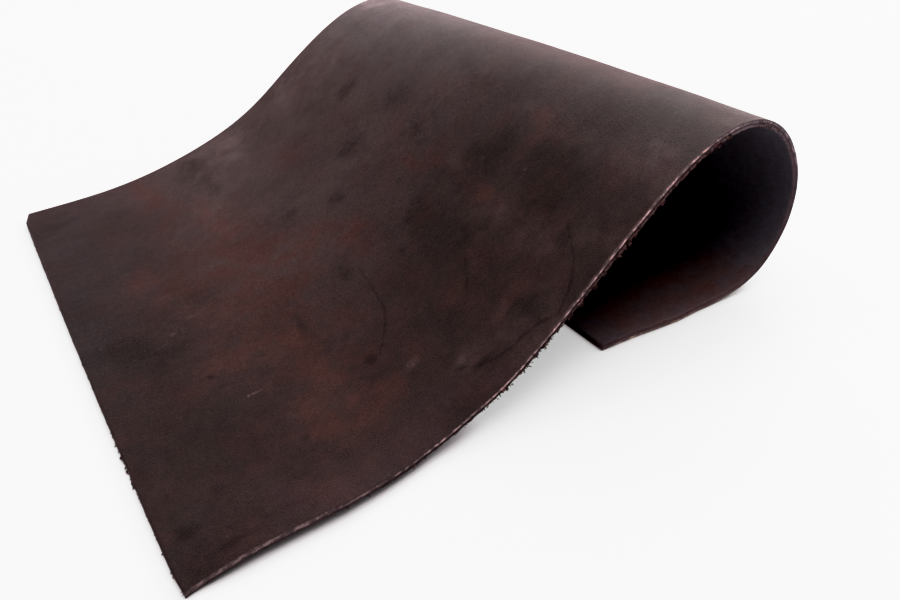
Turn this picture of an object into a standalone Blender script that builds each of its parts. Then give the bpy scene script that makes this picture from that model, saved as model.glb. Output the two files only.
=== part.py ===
"""A cut panel of leather that lies turned over on itself.

It is one rectangle of pull-up leather, cut by hand from a larger skin. Its left end lies grain
side up. From there the sheet rises in a shallow S, turns over a rounded crest and curls back
under itself, so its other end lies flesh side up inside an open loop.

Frame: metres, +Z up, origin on the surface it lies on, under the middle of its bounding box.
X runs along the panel's length and Y across its width, from the near edge to the far edge.
"""

import math

import bmesh
import bpy

MM = 0.001

# Driving dimensions, in millimetres.
PANEL_WIDTH = 210.0
THICKNESS = 2.0
STEPS_ACROSS = 12

# The bends along the sheet, from the end that lies grain side up to the end inside the loop.
# The sheet turns upwards for a positive angle and over towards its flesh side for a negative one.
# Name, length in mm, turn in degrees at the near edge and at the far edge, rows of faces.
BENDS = (
    ("lying foot", 20.0, 0.0, 0.0, 3),
    ("start of the rise", 26.0, 1.5, 9.5, 5),
    ("hollow", 34.0, 26.5, 10.0, 7),
    ("end of the hollow", 30.0, 8.5, 17.0, 6),
    ("straight rise", 32.0, -2.5, -5.5, 5),
    ("shoulder", 22.0, -16.0, -16.0, 5),
    ("crest", 30.0, -67.0, -60.0, 11),
    ("outer wall", 28.0, -53.5, -63.0, 9),
    ("lower bend", 35.0, -77.5, -72.0, 13),
    ("lying end", 40.0, 0.0, 0.0, 5),
)
EASE = 9.0  # each bend eases into the next over this distance either side of where they meet
EASE_SAMPLES = 19

# The bends aren't quite square to the cut, so the sheet drifts towards the far side as it curls.
DRIFT = 16.0
FAR_EDGE_SHIFT = 1.0

# The crest is arched: it stands higher in the middle of the width than at the two edges.
CREST_ARCH = 1.2
ARCH_START = 134.0
ARCH_END = 239.0

# The hand-cut outline. The near cut stands in at its middle and the far cut stands out. The left
# end's cut is bowed, runs out towards the far edge and has its far corner clipped off.
NEAR_EDGE_HOLLOW = 1.8
FAR_EDGE_SWELL = 1.2
LEFT_END_BOW = 0.65
LEFT_END_SLANT = 1.7
CLIP_ALONG = 1.9
CLIP_ACROSS = 8.0

# The middle of the bounding box, measured from the left near corner.
CENTRE_ALONG = 93.6
CENTRE_ACROSS = 113.0

LEATHER_BROWN = (0.045, 0.022, 0.020, 1.0)

NEAR_TURN = 2
FAR_TURN = 3


def panel_length():
    return sum(bend[1] for bend in BENDS)


def turned(distance, column):
    """Total turn in degrees up to this distance, with each bend at an even curvature."""
    total = 0.0
    for bend in BENDS:
        length = bend[1]
        share = min(max(distance / length, 0.0), 1.0)
        total += bend[column] * share
        distance -= length
    return total


def heading(distance, column):
    """Slope of the sheet in radians, with the bends eased into each other."""
    offsets = [EASE * (2.0 * i / (EASE_SAMPLES - 1) - 1.0) for i in range(EASE_SAMPLES)]
    mean = sum(turned(distance + offset, column) for offset in offsets) / EASE_SAMPLES
    return math.radians(mean)


def edge_path(stations, column):
    """X and Z of the grain side at each station, found by walking along the sheet."""
    x = 0.0
    z = THICKNESS
    path = [(x, z)]
    for start, end in zip(stations, stations[1:]):
        steps = max(1, math.ceil(end - start))
        step = (end - start) / steps
        for i in range(steps):
            slope = heading(start + (i + 0.5) * step, column)
            x += math.cos(slope) * step
            z += math.sin(slope) * step
        path.append((x, z))
    return settled(path, stations)


def settled(path, stations):
    """Lowers the sheet evenly between its two lying ends, so that both lie on the surface."""
    first = BENDS[0][1] - EASE
    last = stations[-1] - BENDS[-1][1] + EASE
    gap = path[-1][1]
    lowered = []
    for (x, z), station in zip(path, stations):
        share = min(max((station - first) / (last - first), 0.0), 1.0)
        lowered.append((x, z - gap * share))
    return lowered


def stations_along():
    stations = [0.0]
    for bend in BENDS:
        length, rows = bend[1], bend[4]
        start = stations[-1]
        stations += [start + length * (i + 1) / rows for i in range(rows)]
    return stations


def fractions_across():
    """Even steps across the width, with the last one as wide as the clipped corner."""
    clip = CLIP_ACROSS / PANEL_WIDTH
    even = [(1.0 - clip) * i / (STEPS_ACROSS - 1) for i in range(STEPS_ACROSS)]
    return even + [1.0]


def bow(fraction):
    """A shallow arch: nought at both ends and one in the middle."""
    return 4.0 * fraction * (1.0 - fraction)


def left_end_shift(across):
    """How far the left end's cut lies from a square cut through the near corner."""
    corner = max(0.0, 1.0 - (1.0 - across) * PANEL_WIDTH / CLIP_ACROSS)
    return CLIP_ALONG * corner - LEFT_END_BOW * bow(across) - LEFT_END_SLANT * across


def crest_lift(station, across):
    """How far the arch of the crest lifts the sheet here."""
    share = min(max((station - ARCH_START) / (ARCH_END - ARCH_START), 0.0), 1.0)
    return CREST_ARCH * bow(across) * math.sin(math.pi * share) ** 2


def sheet_point(station, across, near, far):
    """A point of the grain side, from the near and far edges' (x, z) at this station."""
    share = station / panel_length()
    foot = BENDS[0][1]
    cut_shift = left_end_shift(across) * max(0.0, 1.0 - station / foot)
    lift = crest_lift(station, across)
    near_cut = NEAR_EDGE_HOLLOW * bow(share) / PANEL_WIDTH
    far_cut = 1.0 + FAR_EDGE_SWELL * bow(share) / PANEL_WIDTH
    across = near_cut + (far_cut - near_cut) * across
    x = near[0] + (far[0] + FAR_EDGE_SHIFT - near[0]) * across + cut_shift
    y = PANEL_WIDTH * across + DRIFT * share
    z = near[1] + (far[1] - near[1]) * across + lift
    return ((x - CENTRE_ALONG) * MM, (y - CENTRE_ACROSS) * MM, z * MM)


def leather_material():
    material = bpy.data.materials.new("pull_up_leather")
    material.use_nodes = True
    shader = material.node_tree.nodes["Principled BSDF"]
    shader.inputs["Base Color"].default_value = LEATHER_BROWN
    shader.inputs["Roughness"].default_value = 0.5
    shader.inputs["Metallic"].default_value = 0.0
    return material


def make_panel(collection):
    stations = stations_along()
    fractions = fractions_across()
    near = edge_path(stations, NEAR_TURN)
    far = edge_path(stations, FAR_TURN)
    rows = len(stations) - 1
    columns = len(fractions) - 1

    mesh = bpy.data.meshes.new("leather_panel")
    bm = bmesh.new()
    bmesh.ops.create_grid(bm, x_segments=rows, y_segments=columns, size=0.5)
    for vertex in bm.verts:
        row = round((vertex.co.x + 0.5) * rows)
        column = round((vertex.co.y + 0.5) * columns)
        vertex.co = sheet_point(stations[row], fractions[column], near[row], far[row])
    bm.to_mesh(mesh)
    bm.free()
    mesh.materials.append(leather_material())
    mesh.shade_smooth()

    panel = bpy.data.objects.new("leather_panel", mesh)
    collection.objects.link(panel)
    skin = panel.modifiers.new("flesh side", "SOLIDIFY")
    skin.thickness = THICKNESS * MM
    skin.offset = -1.0
    skin.use_even_offset = False
    return panel


def main():
    for obj in list(bpy.data.objects):
        bpy.data.objects.remove(obj, do_unlink=True)
    collection = bpy.data.collections.new("leather_hide_panel")
    bpy.context.scene.collection.children.link(collection)
    make_panel(collection)


main()
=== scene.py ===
"""A cut panel of dark pull-up leather, lying turned over on itself on a pale table."""

import math
import random
from typing import NamedTuple

import bmesh
import bpy
import numpy as np
from mathutils import Matrix, Vector, noise


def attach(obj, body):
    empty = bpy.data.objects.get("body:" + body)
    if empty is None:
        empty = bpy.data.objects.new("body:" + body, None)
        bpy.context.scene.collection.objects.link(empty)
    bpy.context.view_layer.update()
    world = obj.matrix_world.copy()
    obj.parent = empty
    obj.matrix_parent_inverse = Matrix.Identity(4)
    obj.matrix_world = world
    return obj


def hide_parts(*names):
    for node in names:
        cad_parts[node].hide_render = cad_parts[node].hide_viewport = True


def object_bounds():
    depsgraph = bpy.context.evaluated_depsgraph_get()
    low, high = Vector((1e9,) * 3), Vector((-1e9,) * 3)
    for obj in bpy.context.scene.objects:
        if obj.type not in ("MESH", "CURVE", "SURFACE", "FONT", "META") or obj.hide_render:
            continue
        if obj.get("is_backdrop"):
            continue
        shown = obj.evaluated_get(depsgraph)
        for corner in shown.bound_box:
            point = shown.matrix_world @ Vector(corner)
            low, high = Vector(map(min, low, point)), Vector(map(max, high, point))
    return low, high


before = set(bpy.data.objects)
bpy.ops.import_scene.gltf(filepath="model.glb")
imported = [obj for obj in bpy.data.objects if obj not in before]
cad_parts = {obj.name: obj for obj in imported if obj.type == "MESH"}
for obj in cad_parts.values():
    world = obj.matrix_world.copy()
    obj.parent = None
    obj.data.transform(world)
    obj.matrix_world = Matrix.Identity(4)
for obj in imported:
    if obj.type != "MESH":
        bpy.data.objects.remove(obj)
CAD_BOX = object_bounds()

MM = 0.001

# ---------------------------------------------------------------- the panel, in millimetres

PANEL_WIDTH = 210.0
THICKNESS = 2.0

# Name, length, turn in degrees at the near edge and at the far edge.
BENDS = (
    ("lying foot", 20.0, 0.0, 0.0),
    ("start of the rise", 26.0, 1.5, 9.5),
    ("hollow", 34.0, 26.5, 10.0),
    ("end of the hollow", 30.0, 8.5, 17.0),
    ("straight rise", 32.0, -2.5, -5.5),
    ("shoulder", 22.0, -16.0, -16.0),
    ("crest", 30.0, -67.0, -60.0),
    ("outer wall", 28.0, -53.5, -63.0),
    ("lower bend", 35.0, -77.5, -72.0),
    ("lying end", 40.0, 0.0, 0.0),
)
NEAR_TURN = 2
FAR_TURN = 3
PANEL_LENGTH = sum(bend[1] for bend in BENDS)
PANEL_OUTLINE = 2.0 * (PANEL_LENGTH + PANEL_WIDTH)
FOOT = BENDS[0][1]
LYING_END = BENDS[-1][1]
# Each bend eases into the next over this distance either side of where they meet.
EASE = 9.0
EASE_SAMPLES = 19
WALK_STEP = 0.25

# The bends aren't quite square to the cut, so the sheet drifts towards the far side.
DRIFT = 16.0
FAR_EDGE_SHIFT = 1.0
# The crest stands higher in the middle of the width than at the two cuts.
CREST_ARCH = 1.2
ARCH_START = 134.0
ARCH_END = 239.0

# The hand-cut outline, with its far left corner clipped and its near left corner worn.
NEAR_EDGE_HOLLOW = 1.8
FAR_EDGE_SWELL = 1.2
LEFT_END_BOW = 0.65
LEFT_END_SLANT = 1.7
CLIP_ALONG = 1.9
CLIP_ACROSS = 8.0
NEAR_CORNER_TRIM = 0.45
NEAR_CORNER_REACH = 6.0

# The middle of the bounding box, measured from the near left corner.
CENTRE_ALONG = 93.6
CENTRE_ACROSS = 113.0

# The fine mesh has even steps along, and steps across that crowd towards the two long cuts.
STEPS_ALONG = 396
STEPS_ACROSS = 104
CROWDING = 0.70
EDGE_TOLERANCE = 1e-5

# The cut edge from the grain side down: share of the thickness, and how far it stands out.
CUT_SECTION = (
    (0.00, -0.04),
    (0.05, 0.02),
    (0.12, 0.05),
    (0.22, 0.02),
    (0.34, -0.07),
    (0.48, -0.14),
    (0.62, -0.12),
    (0.77, -0.04),
    (0.90, -0.05),
    (1.00, -0.18),
)
# The flesh side of the cut draws in, and hangs in rags, from these depths down to the full one.
DRAWN_IN_FROM = 0.25
RAGS_FROM = 0.55
RAG_DROP = 0.22
# How ragged the cut is at its grain side and at its flesh side, in mm.
RAG_AT_GRAIN = 0.02
RAG_AT_FLESH = 0.34
# The rags: their size, and the share and the size of the finer ones on them.
RAG_SIZE = 1.5
FINE_RAG = 0.7
FINE_RAG_SIZE = 0.8
FINE_RAG_START = 3.0
# The left end is torn between these places across. It begins, is full, fades and stops there.
TORN_ACROSS = (30.0, 36.0, 62.0, 68.0)
TORN_DEPTH = 0.45

# Unevenness in mm: its height, its size and where its noise starts, so that no two run alike.
KNIFE_WANDER = (0.06, 9.0, 5.0)
SWELL = (0.16, 26.0, 2.0)
RIPPLE = (0.035, 5.0, 7.0)
NAP = (0.05, 1.3, 23.0)
NOISE_LEAN = (1.0, 0.7, 1.3)
CUT_RAG_START = 11.0
TORN_RAG_START = 17.0
DROP_RAG_START = 29.0

# Along the cut from the near left corner, in mm, then the columns named below it:
# raggedness, how far the flesh side of the cut draws in (mm),
# the pale line's brightness (a pale fibre line that is partly a painted highlight), its place and its
# reach up and down (shares of the thickness),
# brightness of the crumbled fibres along the flesh side, and how light the core is, its dark being partly
# painted shade and its lightness partly painted light.
CUT_COLUMNS = ("ragged", "drawn_in", "pale_line", "pale_place", "pale_reach", "crumbled", "core_lit_tone")
CUT_PAINTS = CUT_COLUMNS[2:]
CUT_STATIONS = (
    (0.0, 0.30, 0.20, 0.38, 0.36, 0.42, 0.00, 0.20),
    (30.0, 0.35, 0.20, 0.42, 0.36, 0.40, 0.00, 0.20),
    (38.0, 0.45, 0.20, 0.24, 0.36, 0.36, 0.00, 0.15),
    (45.0, 0.50, 0.22, 0.48, 0.32, 0.32, 0.00, 0.08),
    (54.0, 0.60, 0.28, 0.30, 0.24, 0.26, 0.00, 0.04),
    (62.0, 0.75, 0.32, 0.85, 0.22, 0.24, 0.04, 0.06),
    (72.0, 0.90, 0.32, 0.60, 0.22, 0.24, 0.05, 0.06),
    (80.0, 1.00, 0.28, 1.00, 0.23, 0.23, 0.20, 0.08),
    (104.0, 1.00, 0.22, 0.95, 0.21, 0.22, 0.50, 0.10),
    (116.0, 1.00, 0.05, 1.00, 0.19, 0.21, 0.90, 0.15),
    (156.0, 1.05, 0.00, 1.00, 0.17, 0.21, 0.85, 0.22),
    (165.0, 1.00, -0.12, 0.85, 0.27, 0.20, 0.80, 0.36),
    (175.0, 0.85, -0.08, 0.36, 0.27, 0.20, 0.95, 0.46),
    (186.0, 0.60, 0.00, 0.50, 0.24, 0.22, 0.70, 0.48),
    (200.0, 0.50, 0.00, 0.42, 0.20, 0.24, 0.30, 0.50),
    (212.0, 0.45, 0.00, 0.15, 0.14, 0.20, 0.10, 0.40),
    (236.0, 0.35, 0.00, 0.12, 0.10, 0.16, 0.00, 0.38),
    (250.0, 0.35, 0.00, 0.22, 0.12, 0.18, 0.00, 0.80),
    (264.0, 0.40, 0.00, 0.35, 0.12, 0.20, 0.00, 0.90),
    (272.0, 0.50, 0.00, 0.60, 0.11, 0.20, 0.00, 0.90),
    (286.0, 0.50, 0.00, 0.90, 0.12, 0.24, 0.00, 1.00),
    (297.0, 0.55, 0.00, 0.30, 0.10, 0.15, 0.05, 0.50),
    (507.0, 0.60, 0.10, 0.30, 0.18, 0.16, 0.30, 0.20),
    (804.0, 0.60, 0.10, 0.25, 0.18, 0.16, 0.30, 0.15),
    (948.0, 0.60, 0.10, 0.20, 0.18, 0.16, 0.20, 0.10),
    (976.0, 1.30, 0.10, 0.20, 0.18, 0.16, 0.20, 0.10),
    (1014.0, 0.30, 0.20, 0.38, 0.36, 0.42, 0.00, 0.20),
)

# The near cut isn't straight: distance along, and how far it stands out, in mm.
NEAR_CUT_WANDER = (
    (0.0, 0.80),
    (2.0, 0.50),
    (5.0, 0.70),
    (9.0, 1.00),
    (14.0, 1.15),
    (19.0, 1.25),
    (27.0, 1.65),
    (36.0, 1.95),
    (44.0, 1.50),
    (48.0, 1.05),
    (54.0, 0.25),
    (60.0, -0.65),
    (72.0, -0.80),
    (78.0, -0.38),
    (84.0, -0.08),
    (104.0, -0.05),
    (112.0, 0.00),
    (198.0, 0.00),
    (206.0, 0.25),
    (214.0, 0.42),
    (240.0, 0.46),
    (247.0, 0.15),
    (254.0, -0.35),
    (263.0, -0.10),
    (271.0, 0.65),
    (278.0, 0.45),
    (286.0, 0.00),
    (297.0, 0.00),
)
# It curls up off the table here and there: distance along, and lift, in mm.
NEAR_CUT_LIFT = (
    (2.0, 0.00),
    (5.0, 0.75),
    (9.0, 1.60),
    (14.0, 2.15),
    (19.0, 2.25),
    (27.0, 2.30),
    (36.0, 2.15),
    (44.0, 1.65),
    (52.0, 0.80),
    (60.0, 0.00),
    (172.0, 0.00),
    (180.0, 0.12),
    (188.0, 0.08),
    (196.0, 0.00),
)
NEAR_CURL_REACH = 24.0

# ---------------------------------------------------------------- marks on the two sides

# Along, across, reach along, reach across (mm), strength.
WARM_PATCHES = (
    (43, 192, 6, 22, 0.85),
    (40, 160, 6, 12, 0.40),
    (55, 146, 5, 22, 0.75),
    (30, 128, 10, 10, 0.70),
    (34, 108, 14, 12, 0.45),
    (60, 116, 10, 9, 0.65),
    (74, 101, 9, 7, 0.65),
    (86, 86, 7, 10, 0.75),
    (56, 90, 10, 10, 0.35),
    (38, 68, 10, 9, 0.35),
    (52, 60, 6, 20, 0.35),
    (47, 32, 5, 10, 0.35),
    (42, 26, 5, 9, 0.35),
    (60, 28, 12, 10, 0.28),
    (33, 9, 13, 5, 0.18),
    (101, 20, 10, 8, 0.35),
    (115, 92, 3, 9, 0.60),
    (123, 82, 5, 6, 0.60),
    (118, 54, 4, 12, 0.55),
    (112, 144, 5, 7, 0.55),
    (92, 156, 7, 14, 0.50),
    (103, 196, 4, 14, 0.20),
    (122, 112, 5, 9, 0.45),
    (145, 52, 4, 9, 0.55),
    (143, 110, 6, 16, 0.40),
    (140, 185, 8, 14, 0.40),
    (176, 48, 14, 80, 1.00),
    (50, 88, 22, 62, 0.58),
    (58, 128, 11, 22, 0.30),
    (50, 22, 18, 24, 0.22),
)
DARK_PATCHES = (
    (4, 197, 10, 19, 1.00),
    (36, 96, 15, 34, 0.40),
    (125, 104, 5, 14, 0.35),
    (166, 142, 15, 15, 1.00),
    (174, 22, 7, 18, 0.75),
    (24, 44, 24, 34, 0.28),
    (14, 87, 8, 12, 0.85),
    (22, 44, 10, 7, 0.35),
    (28, 182, 7, 16, 0.45),
    (154, 139, 7, 8, 0.70),
    (62, 194, 5, 14, 0.75),
    (64, 170, 4, 8, 0.50),
    (77, 121, 4, 6, 0.80),
    (91, 111, 3, 4, 0.70),
    (76, 78, 3, 9, 0.50),
    (56, 65, 1.8, 7, 0.60),
    (104, 58, 8, 15, 1.00),
    (103, 72, 5, 6, 0.60),
    (96, 34, 7, 6, 0.55),
    (131, 63, 9, 8, 0.95),
    (136, 47, 7, 10, 0.85),
    (124, 33, 10, 8, 1.00),
    (137, 33, 8, 7, 0.85),
    (120, 18, 7, 6, 0.45),
    (100, 11, 4, 5, 0.90),
    (84, 9, 7, 3, 0.55),
    (126, 157, 7, 6, 0.90),
    (112, 172, 6, 12, 0.45),
    (108, 127, 6, 9, 0.60),
    (128, 100, 7, 14, 0.45),
    (131, 128, 9, 9, 0.50),
    # Painted shade: the dim band where the grain turns over towards the lit crest.
    (152, 92, 5, 24, 0.55),
    (150, 25, 8, 8, 0.30),
    (118, 74, 3, 7, 0.45),
)
SMOKE_PATCHES = (
    (7, 95, 9, 28, 0.85),
    (10, 138, 15, 28, 0.85),
    (12, 186, 17, 32, 0.95),
    (5, 50, 6, 14, 0.40),
    (4, 15, 6, 8, 0.60),
    (24, 152, 8, 12, 0.20),
)
# Mauve, by the near cut.
MAUVE_PATCHES = (
    (46, 2, 40, 12, 0.50),
    (90, 2, 16, 8, 0.35),
    (26, 30, 22, 20, 0.20),
    (150, 10, 14, 20, 0.40),
)
# Rubbed a little paler.
PALE_PATCHES = (
    (55, 154, 6, 20, 0.35),
    (78, 197, 10, 15, 0.80),
    (70, 178, 15, 24, 0.30),
    (118, 184, 24, 30, 0.35),
    (118, 30, 20, 44, 0.20),
    (20, 148, 8, 18, 0.20),
    (62, 5, 9, 7, 0.30),
    (84, 12, 9, 12, 0.40),
    (97, 7, 10, 12, 0.50),
    (101, 32, 9, 9, 0.20),
    (115, 25, 6, 7, 0.50),
    (115, 44, 5, 6, 0.45),
    (125, 74, 5, 8, 0.40),
    (126, 8, 9, 9, 0.35),
    (150, 5, 9, 12, 0.80),
    (148, 28, 8, 22, 0.50),
    (146, 62, 6, 18, 0.25),
    (110, 200, 9, 12, 0.50),
    (134, 198, 10, 14, 0.40),
    (166, 200, 12, 15, 0.60),
)
# Redder patches on the flesh side.
FLESH_PATCHES = (
    (280, 60, 26, 80, 0.90),
    (262, 20, 14, 26, 0.50),
    (249, 10, 15, 24, 0.50),
    (60, 120, 40, 60, 0.40),
)
# Small dark spots on the grain: along, across, reach along, reach across, strength.
SPOTS = (
    (63.5, 37, 2.6, 3.2, 1.00),
    (26.5, 64, 1.5, 2.0, 0.90),
    (5.5, 14, 3.2, 3.4, 0.90),
    (12.5, 4.5, 5.0, 1.4, 0.70),
    (2.0, 38, 1.8, 6.0, 0.60),
    (100.0, 11, 2.8, 5.0, 0.45),
    (82.5, 10, 3.6, 1.6, 0.90),
    (38.0, 26, 1.4, 1.6, 0.55),
    (108.0, 90, 1.8, 1.8, 0.60),
    (117.0, 64, 1.2, 2.4, 0.50),
    (91.5, 64, 1.2, 2.2, 0.60),
    (15.0, 23, 2.2, 2.4, 0.45),
    (63.0, 87, 1.6, 1.0, 0.50),
)

# Dark veins under the grain: reach to either side, then their points (along, across).
VEINS = (
    (0.75, ((79, 74), (78, 64), (76.5, 54), (75, 49), (71, 42.5), (66, 36.5))),
    (0.55, ((100.5, 41), (97, 35.5), (93, 30.5))),
    (0.60, ((124.3, 19.2), (121, 15.5), (116.5, 9))),
    (0.85, ((116.5, 9), (110, 4.2), (103.5, 1.6), (97.5, 5.2), (88.5, 6.6), (82, 9.8), (77, 14))),
)

# Pale scuffs: along, across, reach along, reach across, strength.
SCUFFS = (
    (70.5, 26, 2.9, 2.1, 0.36),
    (79.5, 15.5, 2.4, 1.9, 0.34),
    (34, 50, 2.2, 0.5, 0.70),
    (32, 50, 0.6, 0.5, 1.00),
    (31.5, 96.5, 3.4, 1.3, 0.30),
    (23.5, 91, 1.3, 1.2, 0.40),
    (101.5, 37, 1.4, 2.2, 0.16),
    (165.5, 18, 1.0, 0.4, 0.90),
)

PATCHES = {
    "warm_tone": WARM_PATCHES,
    "dark_tone": DARK_PATCHES,
    "smoke_tone": SMOKE_PATCHES,
    "pale_tone": PALE_PATCHES,
    "mauve_tone": MAUVE_PATCHES,
    "flesh_tone": FLESH_PATCHES,
}
# The outlines of patches wander, and fret more finely: how far and over what size, in mm.
PATCH_WANDER = (5.0, 15.0)
PATCH_FRET = (2.2, 5.0)
# Where the noise of the wander and of the fret starts, along the panel and across it.
PATCH_STARTS = ((31.0, 37.0), (43.0, 47.0))

# The flesh side is rubbed paler along the cuts, over about this far in.
FLESH_RUB_REACH = 8.0
# The far part is a paler, duller grey: partly a bloom on the leather, partly painted sheen of the grazing
# view there. It comes up from here to here, in mm.
BLOOM_AND_SHEEN_ACROSS = (30.0, 125.0)
BLOOM_AND_SHEEN_ALONG = (4.0, 62.0)
# The leather goes pale over the crest, partly as the oils move out of the bent leather and partly as a
# painted highlight of the sheen there: it begins, is full, fades and stops there.
PULL_UP_AND_SHEEN_ALONG = (122.0, 186.0, 215.0, 262.0)
# The far part goes palest, mostly as painted highlight of the stronger sheen there. Near the near cut
# this share of it is left.
PULL_UP_AND_SHEEN_ACROSS = (70.0, 195.0)
PULL_UP_AND_SHEEN_LEAST = 0.10

# ---------------------------------------------------------------- the sheet's lying shape


def bow(share):
    """A shallow arch: nought at both ends and one in the middle."""
    return 4.0 * share * (1.0 - share)


def smooth_step(values):
    values = np.clip(values, 0.0, 1.0)
    return values * values * (3.0 - 2.0 * values)


def rise(values, start, full):
    """Nought up to the start and one from full on, with a smooth step between them."""
    return smooth_step((values - start) / (full - start))


def stretch_of(values, start, full, fade, stop):
    """One from full to fade, and nought before the start and after the stop."""
    return rise(values, start, full) * rise(-values, -stop, -fade)


def turned(distance, column):
    """Total turn in degrees up to each distance, with each bend at an even curvature."""
    total = np.zeros_like(distance)
    start = 0.0
    for bend in BENDS:
        total += bend[column] * np.clip((distance - start) / bend[1], 0.0, 1.0)
        start += bend[1]
    return total


def edge_walk(marks, column):
    """X and Z of the grain side at each mark along one long cut."""
    middles = (marks[1:] + marks[:-1]) / 2.0
    offsets = np.linspace(-EASE, EASE, EASE_SAMPLES)
    slope = np.radians(np.mean([turned(middles + offset, column) for offset in offsets], axis=0))
    x = np.concatenate([[0.0], np.cumsum(np.cos(slope) * WALK_STEP)])
    z = np.concatenate([[0.0], np.cumsum(np.sin(slope) * WALK_STEP)]) + THICKNESS
    settle_start = FOOT - EASE
    settle_end = PANEL_LENGTH - LYING_END + EASE
    z -= z[-1] * np.clip((marks - settle_start) / (settle_end - settle_start), 0.0, 1.0)
    return x, z


MARKS = np.arange(0.0, PANEL_LENGTH + WALK_STEP / 2.0, WALK_STEP)
NEAR_PATH = edge_walk(MARKS, NEAR_TURN)
FAR_PATH = edge_walk(MARKS, FAR_TURN)


def lay(along, across):
    """Points of the grain side, in mm, from the distance along and the share across."""
    share = along / PANEL_LENGTH
    corner = np.clip(1.0 - (1.0 - across) * PANEL_WIDTH / CLIP_ACROSS, 0.0, 1.0)
    near_corner = np.clip(1.0 - across * PANEL_WIDTH / NEAR_CORNER_REACH, 0.0, 1.0)
    cut_shift = CLIP_ALONG * corner - LEFT_END_BOW * bow(across) - LEFT_END_SLANT * across
    cut_shift = cut_shift + NEAR_CORNER_TRIM * near_corner
    cut_shift = cut_shift * np.clip(1.0 - along / FOOT, 0.0, 1.0)
    arch = np.clip((along - ARCH_START) / (ARCH_END - ARCH_START), 0.0, 1.0)
    lift = CREST_ARCH * bow(across) * np.sin(np.pi * arch) ** 2
    curl = smooth_step(1.0 - across * PANEL_WIDTH / NEAR_CURL_REACH)
    lift = lift + curl * np.interp(along, *zip(*NEAR_CUT_LIFT))
    wander = np.interp(along, *zip(*NEAR_CUT_WANDER))
    near_cut = (NEAR_EDGE_HOLLOW * bow(share) - wander) / PANEL_WIDTH
    far_cut = 1.0 + FAR_EDGE_SWELL * bow(share) / PANEL_WIDTH
    spread = near_cut + (far_cut - near_cut) * across
    near_x, near_z = (np.interp(along, MARKS, values) for values in NEAR_PATH)
    far_x, far_z = (np.interp(along, MARKS, values) for values in FAR_PATH)
    x = near_x + (far_x + FAR_EDGE_SHIFT - near_x) * spread + cut_shift
    y = PANEL_WIDTH * spread + DRIFT * share
    z = near_z + (far_z - near_z) * spread + lift
    return np.stack([x - CENTRE_ALONG, y - CENTRE_ACROSS, z], axis=1)


def unit(vectors):
    lengths = np.linalg.norm(vectors, axis=1, keepdims=True)
    return vectors / np.maximum(lengths, 1e-9)


def directions(along, across):
    """Unit vectors along the panel, across it, and out of its grain side."""
    reach = 0.5
    ahead = lay(np.minimum(along + reach, PANEL_LENGTH), across)
    behind = lay(np.maximum(along - reach, 0.0), across)
    share = reach / PANEL_WIDTH
    further = lay(along, np.minimum(across + share, 1.0))
    nearer = lay(along, np.maximum(across - share, 0.0))
    lengthwise = unit(ahead - behind)
    widthwise = unit(further - nearer)
    return lengthwise, widthwise, unit(np.cross(lengthwise, widthwise))


def uneven(points, height, size, start):
    """Smooth noise up to the height either way at each point, with features of this size."""
    shift = Vector([start * lean for lean in NOISE_LEAN])
    return height * np.array([noise.noise(Vector(point) / size + shift) for point in points])


# ---------------------------------------------------------------- the leather's mesh

# The sheet's materials after the grain side's, which is the first.
FLESH = 1
CUT = 2


def only(kind, items):
    """The vertices, the edges or the faces among what an operator made."""
    return [item for item in items if isinstance(item, kind)]


def crowded(share):
    """Moves even steps across the panel towards its two long cuts."""
    return share - CROWDING * math.sin(2.0 * math.pi * share) / (2.0 * math.pi)


def panel_shell():
    """A closed shell with its place on the flat panel in vertex layers, not yet laid."""
    shell = bmesh.new()
    along, across, depth = (shell.verts.layers.float.new(name) for name in ("along", "across", "depth"))
    bmesh.ops.create_grid(shell, x_segments=STEPS_ALONG, y_segments=STEPS_ACROSS, size=0.5)
    for vert in shell.verts:
        vert[along] = (vert.co.x + 0.5) * PANEL_LENGTH
        vert[across] = crowded(vert.co.y + 0.5)
    rim = [edge for edge in shell.edges if edge.is_boundary]
    flesh = bmesh.ops.duplicate(shell, geom=shell.faces[:])["geom"]
    for vert in only(bmesh.types.BMVert, flesh):
        vert[depth] = 1.0
    for face in only(bmesh.types.BMFace, flesh):
        face.material_index = FLESH
    for share, _ in CUT_SECTION[1:]:
        made = bmesh.ops.extrude_edge_only(shell, edges=rim)["geom"]
        verts = set(only(bmesh.types.BMVert, made))
        for vert in verts:
            vert[depth] = share
        for face in only(bmesh.types.BMFace, made):
            face.material_index = CUT
        rim = [edge for edge in only(bmesh.types.BMEdge, made) if verts.issuperset(edge.verts)]
    return shell, along, across, depth


def on_cuts(along, across):
    """Whether each point is on the near, the right, the far and the left cut."""
    near = across < EDGE_TOLERANCE
    right = along > PANEL_LENGTH * (1.0 - EDGE_TOLERANCE)
    far = across > 1.0 - EDGE_TOLERANCE
    left = along < PANEL_LENGTH * EDGE_TOLERANCE
    return near, right, far, left


def outline_distance(along, across, one_cut=False):
    """Distance round the panel's outline from its near left corner, for points on a cut.

    With one_cut, the points are the corners of one face, all measured along the cut it is on.
    """
    sides = on_cuts(along, across)[:3]
    if one_cut:
        sides = [np.full(len(side), side.all()) for side in sides]
    round_right = PANEL_LENGTH + across * PANEL_WIDTH
    round_far = 2.0 * PANEL_LENGTH + PANEL_WIDTH - along
    round_left = PANEL_OUTLINE - across * PANEL_WIDTH
    return np.select(sides, (along, round_right, round_far), round_left)


def cut_station(along, across, name):
    """One column of the cut's table at each point."""
    distances, *columns = zip(*CUT_STATIONS)
    return np.interp(outline_distance(along, across), distances, columns[CUT_COLUMNS.index(name)])


def rag(points, depth, start):
    """Coarse and fine raggedness of the cut, from about -1 to 1."""
    layered = points + depth[:, None] * THICKNESS
    fine = uneven(layered, FINE_RAG, FINE_RAG_SIZE, start + FINE_RAG_START)
    return uneven(layered, 1.0, RAG_SIZE, start) + fine


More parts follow.
